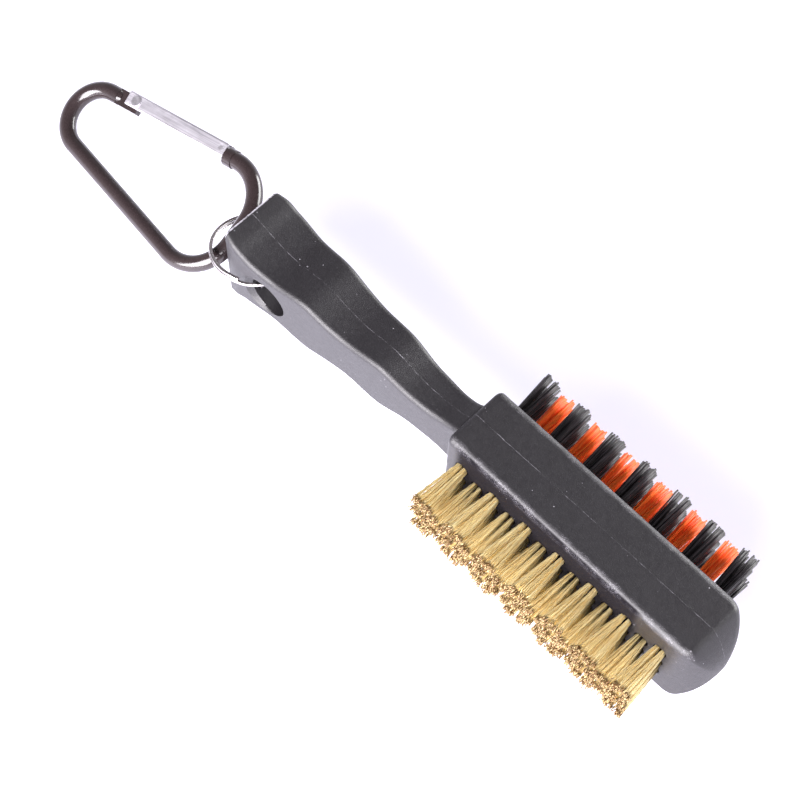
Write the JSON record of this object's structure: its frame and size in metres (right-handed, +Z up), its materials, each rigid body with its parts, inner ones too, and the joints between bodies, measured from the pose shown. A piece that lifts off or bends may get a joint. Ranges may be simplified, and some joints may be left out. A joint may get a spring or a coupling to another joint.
{
  "type": "club groove brush",
  "caption": "Two-sided golf club brush with brass and nylon tufts, a wavy grip handle, a split ring and a small key carabiner with a sprung gate.",
  "frame": {"origin": "centre of the flat side of the head that the brush rests on", "axes": "+X along the brush from the ring to the nose, +Y towards the nylon tufts, +Z up from the resting side"},
  "size_m": [0.2313, 0.0468, 0.0306],
  "materials": {
    "charcoal_plastic": "fine moulded grain",
    "brass_wire": "drawn wire",
    "black_nylon": "drawn filament",
    "orange_nylon": "drawn filament",
    "anchor_metal": "bare strip",
    "ring_steel": "nickel plated",
    "black_anodised": "glossy black anodised",
    "bare_aluminium": "drawn, satin",
    "spring_steel": "drawn wire"
  },
  "bodies": {
    "brush": {"brush_body": "charcoal_plastic", "brass_tufts_row_1": "brass_wire", "brass_tufts_row_2": "brass_wire", "brass_tufts_row_3": "brass_wire", "brass_tufts_row_4": "brass_wire", "brass_tufts_row_5": "brass_wire", "black_tufts_row_1": "black_nylon", "orange_tufts_row_2": "orange_nylon", "black_tufts_row_3": "black_nylon", "orange_tufts_row_4": "orange_nylon", "black_tufts_row_5": "black_nylon", "brass_side_anchors": "anchor_metal", "nylon_side_anchors": "anchor_metal"},
    "ring": {"split_ring": "ring_steel"},
    "carabiner": {"carabiner_body": "black_anodised", "gate_pivot_rivet": "ring_steel"},
    "gate": {"carabiner_gate": "bare_aluminium", "gate_latch_pin": "ring_steel", "gate_spring": "spring_steel"},
    "plunger": {"gate_plunger": "spring_steel"}
  },
  "joints": [
    {"name": "ring_swing", "type": "hinge", "parent": "brush", "child": "ring", "pos_m": [-0.10115, 0, 0.0156], "axis": [0, 1, 0], "range_deg": [-14, 20]},
    {"name": "carabiner_swing", "type": "hinge", "parent": "ring", "child": "carabiner", "pos_m": [-0.12428, -0.00673, 0.01388], "axis": [0.504, -0.8054, 0.3121], "range_deg": [-20, 15]},
    {"name": "gate_open", "type": "hinge", "parent": "carabiner", "child": "gate", "pos_m": [-0.16908, 0.00821, 0.0118], "axis": [0.14, 0.4025, -0.9047], "range_deg": [0, 25], "stiffness_Nm_per_rad": 0.004, "springref_deg": -28.65},
    {"name": "plunger_slide", "type": "slide", "parent": "gate", "child": "plunger", "axis": [0.9704, 0.126, 0.2062], "range_m": [0, 0.0008], "deforming": ["gate_spring"]}
  ],
  "couplings": [
    {"joint": "plunger_slide", "follows": "gate_open", "m_per_rad": 0.001558}
  ]
}
